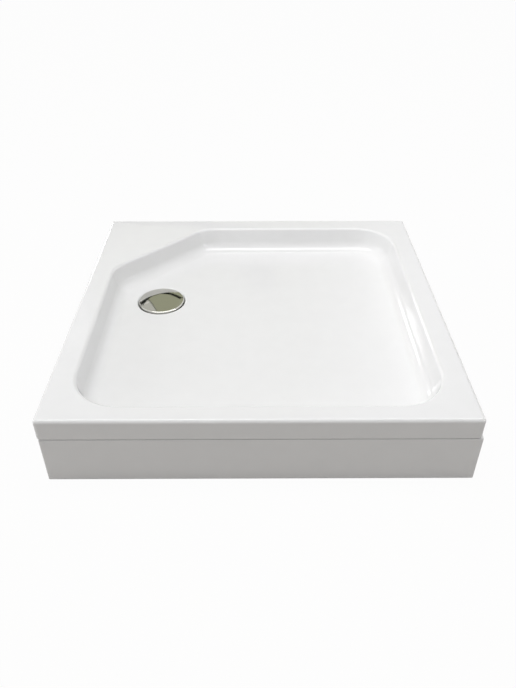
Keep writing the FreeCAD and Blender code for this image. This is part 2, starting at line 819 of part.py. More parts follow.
# ---- lift-out insert -------------------------------------------------------------------------
def dip_tube():
    """Funnel that hangs in the throat, with a groove for its ring and a hub for the cover."""
    groove_top = ring_middle + ring_section_radius
    groove_bottom = ring_middle - ring_section_radius
    funnel_top = flange_top - funnel_top_drop
    funnel_bottom = flange_top - funnel_bottom_drop
    bore = tube_radius - tube_wall
    under_top = funnel_top - tube_wall * 1.5
    under_bottom = funnel_bottom - tube_wall * 0.6
    tube = turned(section([(collar_inner_radius, collar_top),
                           (lip_radius, collar_top), (lip_radius, flange_top),
                           (collar_radius, flange_top), (collar_radius, groove_top),
                           (groove_radius, groove_top), (groove_radius, groove_bottom),
                           (collar_radius, groove_bottom), (collar_radius, collar_bottom),
                           (cup_inner_radius, collar_bottom), (cup_inner_radius, under_top),
                           (tube_radius, under_bottom), (tube_radius, tube_end_height),
                           (bore, tube_end_height), (bore, funnel_bottom),
                           (collar_inner_radius, funnel_top)]), waste_x, waste_y)
    hub_top = flange_top - lip_thickness
    hub = ring(tube_hub_radius, clip_stem_radius + hub_bore_gap, hub_top - tube_hub_height, hub_top,
               waste_x, waste_y)
    half = tube_rib_thickness / 2
    inner = tube_hub_radius - half
    rib = box(waste_x + inner, waste_x + collar_inner_radius + half, waste_y - half, waste_y + half,
              hub_top - tube_hub_height, hub_top)
    return joined([tube, hub] + around(rib, clip_count, waste_x, waste_y, 180.0 / clip_count))


def dip_tube_ring():
    """Rubber ring in the groove of the dip tube."""
    middle = throat_radius - ring_fit - ring_section_radius
    return Part.makeTorus(middle, ring_section_radius, Vector(waste_x, waste_y, ring_middle))


def trap_cup():
    """Cup that hangs from the dip tube and holds the water seal, with overflow windows."""
    top = collar_bottom
    ring_bottom = top - cup_ring_height
    cup = turned(section([(0, cup_bottom), (cup_radius, cup_bottom), (cup_radius, ring_bottom),
                          (cup_radius + cup_ring_extra, ring_bottom), (cup_radius + cup_ring_extra, top),
                          (cup_inner_radius, top), (cup_inner_radius, cup_bottom + cup_wall),
                          (0, cup_bottom + cup_wall)]), waste_x, waste_y)
    window = box(waste_x, waste_x + cup_radius + cup_wall,
                 waste_y - window_width / 2, waste_y + window_width / 2,
                 top - window_drop - window_height, top - window_drop)
    for cutter in around(window, window_count, waste_x, waste_y):
        core = disc(cup_inner_radius - cup_wall, cup_bottom, top, waste_x, waste_y)
        cup = cup.cut(cutter.cut(core))
    return cup


# ---- domed cover --------------------------------------------------------------------------------
def cap_edges(radius, crown, shoulder, bottom, corner):
    """Section of a low dome with a rounded rim, filled down to its bottom."""
    flat = radius - corner
    rise = crown - shoulder
    sphere = (flat * flat + rise * rise) / (2 * rise)
    half_way = flat / 2
    half_drop = sphere - math.sqrt(sphere * sphere - half_way * half_way)
    diagonal = corner * math.sqrt(0.5)
    points = [
        Vector(0, 0, crown),
        Vector(half_way, 0, crown - half_drop),
        Vector(flat, 0, shoulder),
        Vector(flat + diagonal, 0, shoulder - corner + diagonal),
        Vector(radius, 0, shoulder - corner),
    ]
    return [
        Part.Arc(points[0], points[1], points[2]).toShape(),
        Part.Arc(points[2], points[3], points[4]).toShape(),
        Part.LineSegment(points[4], Vector(radius, 0, bottom)).toShape(),
        Part.LineSegment(Vector(radius, 0, bottom), Vector(0, 0, bottom)).toShape(),
        Part.LineSegment(Vector(0, 0, bottom), points[0]).toShape(),
    ]


def dome_inside():
    """Space under the dome, down to the bottom of its rim."""
    return turned(cap_edges(cover_radius - cover_sheet, cover_crown - cover_sheet,
                            cover_shoulder - cover_sheet, cover_bottom,
                            cover_rim_radius - cover_sheet), waste_x, waste_y)


def dome_cover():
    """Pressed metal dome."""
    outside = turned(cap_edges(cover_radius, cover_crown, cover_shoulder, cover_bottom,
                               cover_rim_radius), waste_x, waste_y)
    return outside.cut(dome_inside())


def cover_clip():
    """Plastic spider under the dome: a stem for the hub and three feet on the flange."""
    rib_bottom = flange_top + flange_screw_head_height + clip_rib_gap
    plate = disc(clip_disc_radius, rib_bottom, cover_crown, waste_x, waste_y)
    half = clip_rib_thickness / 2
    rib = box(waste_x, waste_x + clip_foot_circle, waste_y - half, waste_y + half,
              rib_bottom, cover_crown)
    foot = disc(clip_foot_radius, cover_bottom, cover_crown, waste_x + clip_foot_circle, waste_y)
    spider = joined([plate] + around(rib, clip_count, waste_x, waste_y)
                    + around(foot, clip_count, waste_x, waste_y))
    spider = spider.common(dome_inside())
    leg = disc(clip_foot_radius, flange_top, cover_bottom + cover_sheet / 2,
               waste_x + clip_foot_circle, waste_y)
    stem_bottom = cover_crown - cover_sheet - clip_stem_length
    stem = disc(clip_stem_radius, stem_bottom, rib_bottom + clip_stem_radius, waste_x, waste_y)
    return joined([spider, stem] + around(leg, clip_count, waste_x, waste_y))


# ---- everything ------------------------------------------------------------------------------------
def build():
    """Make each piece and write it under its own name."""
    parts = {
        "tray_shell": tray_shell(),
        "reinforcement_layer": reinforcement_layer(),
        "base_board": base_board(),
        "bar_end_caps": bar_end_caps(),
        "frame_screws": frame_screws(),
        "weld_nuts": weld_nuts(),
        "bracket_screws": Part.makeCompound(bracket_screws()),
        "trap_body": trap_body(),
        "lower_seal": ring(trap_flange_radius, waste_hole_radius, trap_top, backed_shelf_bottom,
                           waste_x, waste_y),
        "upper_seal": ring(flange_radius, waste_hole_radius, shelf_top, flange_bottom,
                           waste_x, waste_y),
        "waste_flange": waste_flange(),
        "flange_screws": Part.makeCompound(flange_screw_list()),
        "outlet_pipe": outlet_pipe(),
        "outlet_washer": outlet_washer(),
        "trap_outlet_nut": trap_outlet_nut(),
        "dip_tube": dip_tube(),
        "dip_tube_ring": dip_tube_ring(),
        "trap_cup": trap_cup(),
        "dome_cover": dome_cover(),
        "cover_clip": cover_clip(),
    }
    parts.update(frame_bars())
    parts.update(apron_panels())
    fixings = apron_fixings()
    brackets = fixings.pop("panel_brackets")
    for screw in bracket_screws():
        brackets = [bracket.cut(screw) for bracket in brackets]
    parts["panel_brackets"] = Part.makeCompound(brackets)
    parts.update(fixings)
    for name, x, y in foot_places():
        parts["foot_bolt_" + name] = foot_bolt(x, y, bolt_top(name))
        parts["foot_pad_" + name] = foot_pad(x, y)
        parts["lock_nut_" + name] = lock_nut(x, y)
    os.makedirs("parts", exist_ok=True)
    for name, shape in parts.items():
        save(shape, name)
        print(name, len(shape.Solids), "solids", "ok" if shape.isValid() else "not valid",
              round(shape.Volume / 1000, 1), "cm3")


build()
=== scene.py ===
import json
import math

import bmesh
import bpy
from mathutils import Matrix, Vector

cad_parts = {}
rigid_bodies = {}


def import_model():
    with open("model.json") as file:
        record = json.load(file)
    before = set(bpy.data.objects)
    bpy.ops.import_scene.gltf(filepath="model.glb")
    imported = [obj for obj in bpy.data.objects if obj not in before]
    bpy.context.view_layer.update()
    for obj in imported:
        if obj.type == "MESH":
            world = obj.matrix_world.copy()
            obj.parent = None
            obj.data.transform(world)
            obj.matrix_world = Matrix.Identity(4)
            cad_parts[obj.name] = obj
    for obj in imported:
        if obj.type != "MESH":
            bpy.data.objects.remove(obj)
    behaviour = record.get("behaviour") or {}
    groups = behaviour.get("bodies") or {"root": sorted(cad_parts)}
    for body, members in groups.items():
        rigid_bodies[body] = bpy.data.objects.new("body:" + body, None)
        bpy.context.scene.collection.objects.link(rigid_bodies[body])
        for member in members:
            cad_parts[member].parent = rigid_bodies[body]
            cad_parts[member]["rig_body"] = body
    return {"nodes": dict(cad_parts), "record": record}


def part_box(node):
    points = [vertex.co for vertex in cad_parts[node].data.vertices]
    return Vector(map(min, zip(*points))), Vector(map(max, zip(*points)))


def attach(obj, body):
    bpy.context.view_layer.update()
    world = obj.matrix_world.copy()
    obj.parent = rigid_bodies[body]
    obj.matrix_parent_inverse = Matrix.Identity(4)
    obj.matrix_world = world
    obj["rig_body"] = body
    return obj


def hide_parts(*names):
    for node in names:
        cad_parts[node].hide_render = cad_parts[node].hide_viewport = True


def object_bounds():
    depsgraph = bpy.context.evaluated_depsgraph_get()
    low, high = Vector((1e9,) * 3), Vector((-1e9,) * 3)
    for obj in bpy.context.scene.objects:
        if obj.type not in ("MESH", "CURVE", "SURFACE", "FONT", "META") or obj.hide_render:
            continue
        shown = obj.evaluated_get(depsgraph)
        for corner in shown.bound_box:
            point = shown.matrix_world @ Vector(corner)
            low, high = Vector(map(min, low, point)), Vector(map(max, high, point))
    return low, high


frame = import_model()
cadLow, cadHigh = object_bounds()
nodes = frame["nodes"]
slots = {part["node"]: part["material_slot"] for part in frame["record"]["subparts"]}
mm = 0.001
near = 1e-5    # metres: two places closer than this are the same
bigFace = 0.3    # square metres: only the top, the bottom and the floor of the tray are larger


# hand tools: what a person does in the viewport, said in code

def clearSelection():
    if bpy.context.object and bpy.context.object.mode != "OBJECT":
        bpy.ops.object.mode_set(mode="OBJECT")
    bpy.ops.object.select_all(action="DESELECT")


def activate(piece):
    clearSelection()
    piece.select_set(True)
    bpy.context.view_layer.objects.active = piece


def openMesh(piece):
    activate(piece)
    bpy.ops.object.mode_set(mode="EDIT")
    bpy.ops.mesh.select_all(action="DESELECT")


def closeMesh():
    bpy.ops.object.mode_set(mode="OBJECT")


def spot(part):
    # the middle of a vertex, edge or face
    if isinstance(part, bmesh.types.BMVert):
        return part.co
    if isinstance(part, bmesh.types.BMEdge):
        return (part.verts[0].co + part.verts[1].co) / 2
    return part.calc_center_median()


def pick(kind, wanted):
    # selects what passes the test and nothing else
    bpy.ops.mesh.select_mode(type=kind)
    bpy.ops.mesh.select_all(action="DESELECT")
    mesh = bmesh.from_edit_mesh(bpy.context.object.data)
    for part in {"VERT": mesh.verts, "EDGE": mesh.edges, "FACE": mesh.faces}[kind]:
        if wanted(part):
            part.select_set(True)
    mesh.select_flush_mode()
    bmesh.update_edit_mesh(bpy.context.object.data)


def isUpright(edge):
    rise = edge.verts[0].co - edge.verts[1].co
    return abs(rise.z) > 0.99 * rise.length


def isSharp(edge):
    # its faces turn by more than a radian
    return abs(edge.calc_face_angle(0)) > 1


def newPiece(name):
    piece = bpy.context.object
    piece.name = name
    piece.data.name = name
    return piece


def addCube(name, low, high):
    # a cube between two corners in metres, left open for editing
    clearSelection()
    bpy.ops.mesh.primitive_cube_add(size=1)
    piece = newPiece(name)
    openMesh(piece)
    bpy.ops.mesh.select_all(action="SELECT")
    bpy.ops.transform.resize(value=[high[i] - low[i] for i in range(3)])
    bpy.ops.transform.translate(value=[(high[i] + low[i]) / 2 for i in range(3)])
    return piece


def drawLine(name, places):
    # one vertex moved to the first place and extruded to the others, left open for editing
    clearSelection()
    bpy.ops.mesh.primitive_plane_add(size=mm)
    piece = newPiece(name)
    openMesh(piece)
    bpy.ops.mesh.select_mode(type="VERT")
    bpy.ops.mesh.select_all(action="SELECT")
    bpy.ops.mesh.merge(type="CENTER")
    bpy.ops.transform.translate(value=places[0])
    for before, place in zip(places, places[1:]):
        bpy.ops.mesh.extrude_vertices_move(TRANSFORM_OT_translate={"value": place - before})
    bpy.ops.mesh.select_all(action="SELECT")
    return piece


def useModifier(piece, kind, **settings):
    # adds a modifier with its settings and applies it
    activate(piece)
    made = piece.modifiers.new(kind.lower(), kind)
    for key, value in settings.items():
        setattr(made, key, value)
    bpy.ops.object.modifier_apply(modifier=made.name)


def smooth(piece):
    # smooth shading that keeps flat faces flat beside their rounded edges
    activate(piece)
    bpy.ops.object.shade_smooth_by_angle(angle=math.radians(35))
    useModifier(piece, "WEIGHTED_NORMAL", mode="FACE_AREA_WITH_ANGLE", weight=80, keep_sharp=True)


def finishPiece(piece, body, node):
    piece.data.materials.clear()
    piece.data.materials.append(finishes[slots[node]])
    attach(piece, body)
    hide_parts(node)


def arcPoints(centre, radius, start, end, steps):
    # points on an arc in the radius-height plane, angles in degrees
    points = []
    for step in range(steps + 1):
        angle = math.radians(start + (end - start) * step / steps)
        points.append((centre[0] + radius * math.cos(angle), centre[1] + radius * math.sin(angle)))
    return points


# material tools

def colour(hexValue):
    # sRGB hex to linear
    parts = [int(hexValue[i:i + 2], 16) / 255 for i in (1, 3, 5)]
    linear = [p / 12.92 if p <= 0.04045 else ((p + 0.055) / 1.055) ** 2.4 for p in parts]
    return (*linear, 1.0)


def perMetre(size):
    # a pattern size in mm as the scale of a texture
    return 1 / (size * mm)


def newMaterial(name):
    material = bpy.data.materials.new(name)
    material.use_nodes = True
    material.node_tree.nodes.clear()
    return material, material.node_tree


def addNode(tree, kind, inputs=None, stops=None, **settings):
    made = tree.nodes.new(kind)
    for key, value in settings.items():
        setattr(made, key, value)
    for key, value in (inputs or {}).items():
        if isinstance(value, bpy.types.NodeSocket):
            tree.links.new(value, made.inputs[key])
        else:
            made.inputs[key].default_value = value
    for index, (position, value) in enumerate(stops or []):
        ramp = made.color_ramp.elements
        stop = ramp[index] if index < 2 else ramp.new(position)
        stop.position = position
        stop.color = value
    return made


def finishMaterial(tree, shader):
    addNode(tree, "ShaderNodeOutputMaterial", {"Surface": shader.outputs[0]})


# sizes and depths in mm, roughness from least to most
acrylic = {"light": "#F0F0F0", "shade": "#ECECEC", "film": 35.0, "roughness": (0.07, 0.12),
           "sagSize": 140.0, "sagDepth": 0.06, "peelSize": 1.6, "peelDepth": 0.003}


def whiteAcrylic(name):
    # sanitary acrylic sheet, vacuum formed: a slow ripple from the mould and a fine orange peel
    material, tree = newMaterial(name)
    place = addNode(tree, "ShaderNodeTexCoord").outputs["Object"]
    sag = addNode(tree, "ShaderNodeTexNoise", {
        "Vector": place, "Scale": perMetre(acrylic["sagSize"]), "Detail": 1.0})
    peel = addNode(tree, "ShaderNodeTexNoise", {
        "Vector": place, "Scale": perMetre(acrylic["peelSize"]), "Detail": 2.0})
    film = addNode(tree, "ShaderNodeTexNoise", {
        "Vector": place, "Scale": perMetre(acrylic["film"]), "Detail": 4.0})
    tint = addNode(tree, "ShaderNodeMix", {
        0: film.outputs["Fac"], 6: colour(acrylic["light"]), 7: colour(acrylic["shade"])},
        data_type="RGBA")
    rough = addNode(tree, "ShaderNodeMapRange", {
        "Value": film.outputs["Fac"], "To Min": acrylic["roughness"][0],
        "To Max": acrylic["roughness"][1]})
    slow = addNode(tree, "ShaderNodeBump", {
        "Height": sag.outputs["Fac"], "Distance": acrylic["sagDepth"] * mm})
    fine = addNode(tree, "ShaderNodeBump", {
        "Height": peel.outputs["Fac"], "Distance": acrylic["peelDepth"] * mm,
        "Normal": slow.outputs[0]})
    shader = addNode(tree, "ShaderNodeBsdfPrincipled", {
        "Base Color": tint.outputs[2], "Roughness": rough.outputs[0], "IOR": 1.49,
        "Normal": fine.outputs[0]})
    finishMaterial(tree, shader)
    return material


chrome = {"plate": "#D6D5CF", "swirl": 9.0, "swirlDepth": 0.01, "haze": (0.05, 0.10)}


def chromePlate():
    # pressed brass, polished and chrome plated: near mirror, with a faint polishing swirl
    material, tree = newMaterial("polishedChromePlate")
    place = addNode(tree, "ShaderNodeTexCoord").outputs["Object"]
    swirl = addNode(tree, "ShaderNodeTexNoise", {
        "Vector": place, "Scale": perMetre(chrome["swirl"]), "Detail": 3.0})
    haze = addNode(tree, "ShaderNodeMapRange", {
        "Value": swirl.outputs["Fac"], "To Min": chrome["haze"][0], "To Max": chrome["haze"][1]})
    wave = addNode(tree, "ShaderNodeBump", {
        "Height": swirl.outputs["Fac"], "Distance": chrome["swirlDepth"] * mm})
    shader = addNode(tree, "ShaderNodeBsdfPrincipled", {
        "Base Color": colour(chrome["plate"]), "Metallic": 1.0, "Roughness": haze.outputs[0],
        "Normal": wave.outputs[0]})
    finishMaterial(tree, shader)
    return material


def plainFinish(name, light, dark, size, roughness, metallic=0.0):
    # moulded plastic, rubber or plated steel: two tones in a fine grain of so many mm
    material, tree = newMaterial(name)
    place = addNode(tree, "ShaderNodeTexCoord").outputs["Object"]
    grain = addNode(tree, "ShaderNodeTexNoise", {
        "Vector": place, "Scale": perMetre(size), "Detail": 5.0})
    tint = addNode(tree, "ShaderNodeMix", {
        0: grain.outputs["Fac"], 6: colour(light), 7: colour(dark)}, data_type="RGBA")
    rough = addNode(tree, "ShaderNodeMapRange", {
        "Value": grain.outputs["Fac"], "To Min": roughness[0], "To Max": roughness[1]})
    bump = addNode(tree, "ShaderNodeBump", {
        "Height": grain.outputs["Fac"], "Distance": 0.02 * mm})
    shader = addNode(tree, "ShaderNodeBsdfPrincipled", {
        "Base Color": tint.outputs[2], "Metallic": metallic, "Roughness": rough.outputs[0],
        "IOR": 1.5, "Normal": bump.outputs[0]})
    finishMaterial(tree, shader)
    return material


# stray is how far a flake's outline wanders, over so many mm
board = {"flake": 8.0, "flakeLong": 2.6, "stray": 4.0, "strayOver": 7.0, "dust": 0.5,
         "pits": 0.12, "tones": ("#B08A5C", "#CDAA7B", "#DEC299", "#EAD6B4")}


def rawChipboard():
    # pressed softwood chips, unfaced: pale and brown flakes a few mm long, dull and a little open
    material, tree = newMaterial("rawChipboard")
    place = addNode(tree, "ShaderNodeTexCoord").outputs["Object"]
    wander = addNode(tree, "ShaderNodeTexNoise", {
        "Vector": place, "Scale": perMetre(board["strayOver"]), "Detail": 2.0})
    laid = addNode(tree, "ShaderNodeMix", {
        0: board["stray"] * mm, 4: place, 5: wander.outputs["Color"]}, data_type="VECTOR")
    laid = addNode(tree, "ShaderNodeMapping", {
        "Vector": laid.outputs[1], "Scale": (1, board["flakeLong"], 1)})
    flake = addNode(tree, "ShaderNodeTexVoronoi", {
        "Vector": laid.outputs[0], "Scale": perMetre(board["flake"])})
    own = addNode(tree, "ShaderNodeSeparateColor", {0: flake.outputs["Color"]})
    tones = addNode(tree, "ShaderNodeValToRGB", {"Fac": own.outputs[0]}, [
        (0.05 + 0.3 * index, colour(tone)) for index, tone in enumerate(board["tones"])])
    dust = addNode(tree, "ShaderNodeTexNoise", {
        "Vector": place, "Scale": perMetre(board["dust"]), "Detail": 3.0})
    tint = addNode(tree, "ShaderNodeMix", {
        0: 0.35, 6: tones.outputs[0], 7: dust.outputs["Color"]},
        data_type="RGBA", blend_type="SOFT_LIGHT")
    bump = addNode(tree, "ShaderNodeBump", {
        "Height": flake.outputs["Distance"], "Distance": board["pits"] * mm})
    shader = addNode(tree, "ShaderNodeBsdfPrincipled", {
        "Base Color": tint.outputs[2], "Roughness": 0.88, "IOR": 1.45, "Normal": bump.outputs[0]})
    finishMaterial(tree, shader)
    return material


fibre = {"length": 34.0, "width": 1.1, "lump": 16.0, "relief": 1.4, "turns": (10, 55, 100, 145),
         "resin": "#B9B893", "strand": "#DADBC6", "roughness": (0.28, 0.5)}


def sprayedGlassFibre():
    # resin sprayed with chopped glass: pale strands criss-cross in a lumpy, yellowish gloss
    material, tree = newMaterial("sprayedGlassFibre")
    place = addNode(tree, "ShaderNodeTexCoord").outputs["Object"]
    strands = None
    for turn in fibre["turns"]:
        laid = addNode(tree, "ShaderNodeMapping", {
            "Vector": place, "Rotation": (0.4, 0.3, math.radians(turn)),
            "Scale": (1, fibre["length"] / fibre["width"] / 4, 4)})
        streak = addNode(tree, "ShaderNodeTexNoise", {
            "Vector": laid.outputs[0], "Scale": perMetre(fibre["length"] / 2), "Detail": 1.0})
        if strands:
            streak = addNode(tree, "ShaderNodeMath", {
                0: strands.outputs[0], 1: streak.outputs["Fac"]}, operation="MAXIMUM")
        strands = streak
    share = addNode(tree, "ShaderNodeMapRange", {
        "Value": strands.outputs[0], "From Min": 0.55, "From Max": 0.75})
    lump = addNode(tree, "ShaderNodeTexNoise", {
        "Vector": place, "Scale": perMetre(fibre["lump"]), "Detail": 3.0})
    tint = addNode(tree, "ShaderNodeMix", {
        0: share.outputs[0], 6: colour(fibre["resin"]), 7: colour(fibre["strand"])},
        data_type="RGBA")
    rough = addNode(tree, "ShaderNodeMapRange", {
        "Value": share.outputs[0], "To Min": fibre["roughness"][0],
        "To Max": fibre["roughness"][1]})
    rise = addNode(tree, "ShaderNodeMath", {
        0: share.outputs[0], 1: 0.3, 2: lump.outputs["Fac"]}, operation="MULTIPLY_ADD")
    bump = addNode(tree, "ShaderNodeBump", {
        "Height": rise.outputs[0], "Distance": fibre["relief"] * mm})
    shader = addNode(tree, "ShaderNodeBsdfPrincipled", {
        "Base Color": tint.outputs[2], "Roughness": rough.outputs[0], "IOR": 1.55,
        "Normal": bump.outputs[0]})
    finishMaterial(tree, shader)
    return material


zinc = {"light": "#BEC3C6", "dark": "#9AA0A5", "spangle": 9.0, "bloom": 2.5, "relief": 0.03,
        "dull": (0.26, 0.46)}


def hotDipGalvanised():
    # steel dipped in molten zinc: flat crystals a fingertip wide, each with its tone and sheen
    material, tree = newMaterial("hotDipGalvanisedSteel")
    place = addNode(tree, "ShaderNodeTexCoord").outputs["Object"]
    crystal = addNode(tree, "ShaderNodeTexVoronoi", {
        "Vector": place, "Scale": perMetre(zinc["spangle"])})
    own = addNode(tree, "ShaderNodeSeparateColor", {0: crystal.outputs["Color"]})
    bloom = addNode(tree, "ShaderNodeTexNoise", {
        "Vector": place, "Scale": perMetre(zinc["bloom"]), "Detail": 4.0})
    shade = addNode(tree, "ShaderNodeMath", {
        0: bloom.outputs["Fac"], 1: 0.4, 2: own.outputs[0]},
        operation="MULTIPLY_ADD", use_clamp=True)
    tint = addNode(tree, "ShaderNodeMix", {
        0: shade.outputs[0], 6: colour(zinc["light"]), 7: colour(zinc["dark"])},
        data_type="RGBA")
    rough = addNode(tree, "ShaderNodeMapRange", {
        "Value": own.outputs[1], "To Min": zinc["dull"][0], "To Max": zinc["dull"][1]})
    bump = addNode(tree, "ShaderNodeBump", {
        "Height": crystal.outputs["Distance"], "Distance": zinc["relief"] * mm})
    shader = addNode(tree, "ShaderNodeBsdfPrincipled", {
        "Base Color": tint.outputs[2], "Metallic": 1.0, "Roughness": rough.outputs[0],
        "Normal": bump.outputs[0]})
    finishMaterial(tree, shader)
    return material


finishes = {
    "white_acrylic": whiteAcrylic("vacuumFormedAcrylic"),
    "white_panel": whiteAcrylic("vacuumFormedPanelAcrylic"),
    "chrome_plate": chromePlate(),
    "glass_fibre": sprayedGlassFibre(),
    "chipboard": rawChipboard(),
    "galvanised_steel": hotDipGalvanised(),
    "zinc_plated_steel": plainFinish("brightZincPlate", "#C8CACC", "#A9ABAE", 3, (0.22, 0.34), 1.0),
    "stainless_steel": plainFinish(
        "pressedStainlessSteel", "#C4C3BF", "#AFAEA9", 2, (0.2, 0.3), 1.0),
    "magnet": plainFinish("sinteredFerrite", "#3A3A3D", "#232326", 1, (0.5, 0.7)),
    "black_plastic": plainFinish("mouldedBlackPolyamide", "#1E1E1F", "#151516", 1, (0.4, 0.5)),
    "white_polypropylene": plainFinish(
        "mouldedWhitePolypropylene", "#E6E6E2", "#DCDCD8", 1.5, (0.32, 0.42)),
    "grey_polypropylene": plainFinish(
        "extrudedGreyPolypropylene", "#8A8C8E", "#7C7E80", 1.5, (0.35, 0.45)),
    "black_rubber": plainFinish("mouldedRubber", "#191919", "#101010", 0.8, (0.6, 0.75)),
}
print("materials:", len(finishes))

for node, slot in slots.items():
    for holder in nodes[node].material_slots:
        holder.material = finishes[slot]


# the tray: one sheet of acrylic, sizes in mm and the draft in degrees

tray = {
    "sheet": 4.0, "lip": 45.0,
    "cornerRadius": 7.6, "topRadius": 7.5, "footRadius": 2.4,
    "rimSide": 44.5, "rimFront": 35.5, "rimRear": 45.5, "cut": 213.0,
    "frontCorner": 100.0, "rearCorner": 100.0, "cutCorner": 60.0,
    "rimEdge": 7.5, "floorEdge": 30.0, "draft": 15.0, "depth": 55.5, "fall": 0.005,
    "recess": 55.7, "recessDepth": 12.0, "recessEdge": 5.0, "recessFoot": 3.0, "wasteHole": 45.0,
}
coverLow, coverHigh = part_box("dome_cover")
waste = Vector(((coverLow[0] + coverHigh[0]) / 2, (coverLow[1] + coverHigh[1]) / 2, 0))


def basinSteps(top):
    # (inset, height) down the basin wall in mm: rim edge, drafted wall, floor edge
    draft = math.radians(tray["draft"])
    floor = top - tray["depth"]
    rim, foot = tray["rimEdge"], tray["floorEdge"]
    wall = rim * math.tan((math.pi / 2 - draft) / 2)
    wallEnd = floor + foot * (1 - math.sin(draft))
    flat = wall + (top - wallEnd) * math.tan(draft) + foot * math.cos(draft)
    steps = arcPoints((0, top - rim), rim, 90, tray["draft"], 10)
    wallTop = steps[-1][1]
    for share in (1 / 3, 2 / 3):
        height = wallTop + (wallEnd - wallTop) * share
        steps.append((wall + (top - height) * math.tan(draft), height))
    steps += arcPoints((flat, floor + foot), foot, 180 + tray["draft"], 270, 18)
    return steps


def trayMoulding():
    low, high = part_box("tray_shell")
    top = high[2]
    foot = top - tray["lip"] * mm
    piece = addCube("tray_moulding", (low[0], low[1], foot), high)
    pick("EDGE", isUpright)
    bpy.ops.mesh.bevel(offset=tray["cornerRadius"] * mm, segments=10)
    pick("EDGE", lambda edge: min(vert.co.z for vert in edge.verts) > top - near)
    bpy.ops.mesh.bevel(offset=tray["topRadius"] * mm, segments=10)
    pick("FACE", lambda face: face.calc_area() > bigFace)
    bpy.ops.mesh.delete(type="ONLY_FACE")

    # the basin starts as a plane at the end of the flat rim, with one corner cut off
    left, right = low[0] + tray["rimSide"] * mm, high[0] - tray["rimSide"] * mm
    front, rear = low[1] + tray["rimFront"] * mm, high[1] - tray["rimRear"] * mm
    bpy.ops.mesh.select_mode(type="VERT")
    bpy.ops.mesh.primitive_plane_add(size=1)
    bpy.ops.transform.resize(value=(right - left, rear - front, 1))
    bpy.ops.transform.translate(value=((left + right) / 2, (front + rear) / 2, top))
    bpy.ops.mesh.bisect(plane_co=(left, rear - tray["cut"] * mm, top), plane_no=(-1, 1, 0),
                        clear_outer=True)

    def basinCorner(test, radius, turn, steps):
        # rounds a corner of the plane where its outline turns by so many degrees
        pick("VERT", lambda vert: len(vert.link_faces) == 1
             and vert.link_faces[0].calc_area() > bigFace and test(vert.co))
        bpy.ops.mesh.bevel(offset=radius * mm * math.tan(math.radians(turn / 2)), segments=steps,
                           affect="VERTICES", clamp_overlap=False)

    basinCorner(lambda at: at.y < front + near, tray["frontCorner"], 90, 24)
    basinCorner(lambda at: at.y > rear - near and at.x > right - near, tray["rearCorner"], 90, 24)
    basinCorner(lambda at: abs(at.x - left - (at.y - rear + tray["cut"] * mm)) < near and at.y > 0,
                tray["cutCorner"], 45, 16)
    pick("FACE", lambda face: face.calc_area() > bigFace)
    before = (0, top / mm)
    for step in basinSteps(top / mm)[1:]:
        bpy.ops.mesh.inset(thickness=(step[0] - before[0]) * mm, depth=(step[1] - before[1]) * mm)
        before = step

    # the floor falls to the waste, and its middle is opened for the recess
    floor = top - tray["depth"] * mm
    bend = floor + tray["floorEdge"] * (1 - math.sin(math.radians(tray["draft"]))) * mm
    pick("FACE", lambda face: max(vert.co.z for vert in face.verts) < bend + near
         and abs(face.normal.z) > 0.2)
    bpy.ops.transform.rotate(value=math.atan(tray["fall"]), orient_axis="Y",
                             center_override=(0, 0, floor))
    pick("FACE", lambda face: face.calc_area() > bigFace)
    bpy.ops.mesh.delete(type="ONLY_FACE")

    # the recess of the waste, drawn down from a circle in the floor
    level = floor + tray["fall"] * waste.x
    shelf = level - tray["recessDepth"] * mm
    edge, corner = tray["recessEdge"], tray["recessFoot"]
    radius = tray["recess"] + edge
    bpy.ops.mesh.select_all(action="DESELECT")
    bpy.ops.mesh.primitive_circle_add(vertices=96, radius=radius * mm,
                                      location=(waste.x, waste.y, level),
                                      rotation=(0, -math.atan(tray["fall"]), 0))
    pick("EDGE", lambda part: part.is_wire
         or part.is_boundary and part.verts[0].co.z < foot - mm)
    bpy.ops.mesh.fill(use_beauty=True)
    pick("EDGE", lambda part: part.is_boundary
         and (spot(part) - waste).xy.length < (radius + 1) * mm)
    steps = arcPoints((radius, level / mm - edge), edge, 90, 180, 10)[1:]
    steps += arcPoints((tray["recess"] - corner, shelf / mm + corner), corner, 0, -90, 6)
    steps.append((tray["wasteHole"], shelf / mm))
    for nextRadius, height in steps:
        bpy.ops.mesh.extrude_edges_move()
        scale = nextRadius / radius
        bpy.ops.transform.resize(value=(scale, scale, 0),
                                 center_override=(waste.x, waste.y, height * mm))
        radius = nextRadius

    # the flat rim joins the outer edge to the basin
    pick("EDGE", lambda part: part.is_boundary and part.verts[0].co.z > top - near)
    bpy.ops.mesh.fill(use_beauty=True)
    bpy.ops.mesh.select_all(action="SELECT")
    bpy.ops.mesh.remove_doubles(threshold=0.002 * mm)
    bpy.ops.mesh.normals_make_consistent(inside=False)
    mesh = bmesh.from_edit_mesh(piece.data)
    rim = [face for face in mesh.faces if spot(face).z > top - near]
    if rim[0].normal.z < 0:
        bpy.ops.mesh.flip_normals()
    closeMesh()
    useModifier(piece, "SOLIDIFY", thickness=tray["sheet"] * mm, offset=-1, use_even_offset=True)

    # the foot of the skirt is rounded on its outside
    openMesh(piece)
    pick("EDGE", lambda part: max(vert.co.z for vert in part.verts) < foot + near
         and max(abs(spot(part).x), abs(spot(part).y)) > 0.99 * high[0] and isSharp(part))
    bpy.ops.mesh.bevel(offset=tray["footRadius"] * mm, segments=3)
    closeMesh()
    smooth(piece)
    finishPiece(piece, "tray", "tray_shell")
    print("tray:", len(piece.data.polygons), "faces")


trayMoulding()


# the apron: three formed panels, each open at the back, sizes in mm

panels = {"sheet": 3.0, "edge": 1.8, "frontCorner": 3.0, "sideCorner": 1.2}


